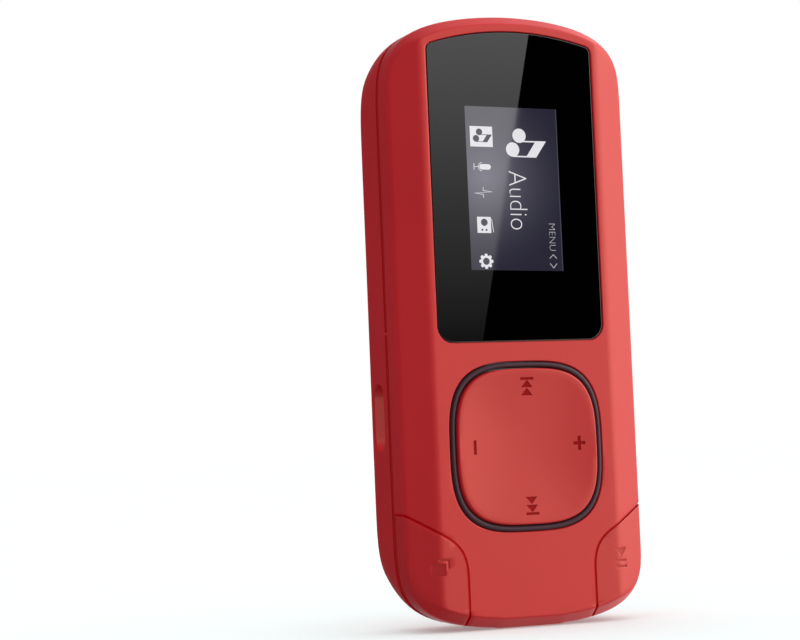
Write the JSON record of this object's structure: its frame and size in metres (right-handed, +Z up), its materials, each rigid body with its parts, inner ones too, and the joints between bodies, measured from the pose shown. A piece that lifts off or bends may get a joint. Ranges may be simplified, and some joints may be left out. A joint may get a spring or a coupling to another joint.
{
  "type": "clip-on digital audio player",
  "caption": "Slim handheld music player with a small display, a four-way pad, corner buttons and a sprung clip on its back.",
  "frame": {"origin": "middle of the bounding box's base, on the surface that the player stands on", "axes": "+Z up along the player's long axis, the display faces -Y, the clip is at +Y, +X is on the right seen from the front"},
  "size_m": [0.032, 0.0176, 0.076],
  "materials": {
    "coral_shell": "soft-touch coral red",
    "coral_buttons": "soft-touch coral red",
    "black_window": "polished black",
    "dark_trim": "satin dark brown",
    "display_glass": "dark violet",
    "black_foam": "matt",
    "grey_silicone": "matt",
    "green_board": "solder mask",
    "chip_black": "moulded epoxy",
    "cream_plastic": "moulded",
    "amber_film": "polyimide film",
    "bright_steel": "tin plated",
    "spring_steel": "bright",
    "cell_foil": "laminated foil",
    "red_wire": "insulated",
    "black_wire": "insulated"
  },
  "bodies": {
    "case": {"front_shell": "coral_shell", "rear_shell": "coral_shell", "display_window": "black_window", "window_adhesive": "black_foam", "nav_ring": "dark_trim", "main_board": "green_board", "board_screw_1": "bright_steel", "board_screw_2": "bright_steel", "board_screw_3": "bright_steel", "board_screw_4": "bright_steel", "dome_previous": "spring_steel", "dome_next": "spring_steel", "dome_minus": "spring_steel", "dome_plus": "spring_steel", "switch_mode": "bright_steel", "switch_play": "bright_steel", "display_gasket": "black_foam", "display_panel": "display_glass", "display_flex": "amber_film", "flex_connector": "cream_plastic", "audio_processor": "chip_black", "flash_memory": "chip_black", "radio_tuner": "chip_black", "charge_controller": "chip_black", "clock_crystal": "bright_steel", "microphone": "bright_steel", "usb_socket_shell": "bright_steel", "usb_socket_tongue": "chip_black", "card_socket_tray": "chip_black", "card_socket_cover": "bright_steel", "headphone_jack": "chip_black", "jack_contact": "spring_steel", "battery_cell": "cell_foil", "battery_tape": "black_foam", "battery_protection_board": "green_board", "battery_lead_positive": "red_wire", "battery_lead_negative": "black_wire", "clip_hinge_pin": "bright_steel", "clip_spring": "spring_steel"},
    "nav_rocker": {"nav_pivot": "grey_silicone"},
    "nav_pad": {"nav_pad": "coral_buttons"},
    "mode_button": {"mode_button": "coral_buttons"},
    "play_button": {"play_button": "coral_buttons"},
    "clip": {"clip_arm": "coral_shell"}
  },
  "joints": [
    {"name": "nav_track_tilt", "type": "hinge", "parent": "case", "child": "nav_rocker", "pos_m": [0, -0.00385, 0.0222], "axis": [1, 0, 0], "range_deg": [-1.5, 1.5], "stiffness_Nm_per_rad": 0.3},
    {"name": "nav_volume_tilt", "type": "hinge", "parent": "nav_rocker", "child": "nav_pad", "pos_m": [0, -0.00385, 0.0222], "axis": [0, 0, 1], "range_deg": [-1.5, 1.5], "stiffness_Nm_per_rad": 0.3},
    {"name": "mode_press", "type": "slide", "parent": "case", "child": "mode_button", "axis": [0, 1, 0], "range_m": [0, 0.00025], "stiffness_N_per_m": 5000},
    {"name": "play_press", "type": "slide", "parent": "case", "child": "play_button", "axis": [0, 1, 0], "range_m": [0, 0.00025], "stiffness_N_per_m": 5000},
    {"name": "clip_open", "type": "hinge", "parent": "case", "child": "clip", "pos_m": [0, 0.00585, 0.0575], "axis": [1, 0, 0], "range_deg": [0, 10], "stiffness_Nm_per_rad": 0.6, "springref_deg": -8.59, "deforming": ["clip_spring"]}
  ]
}
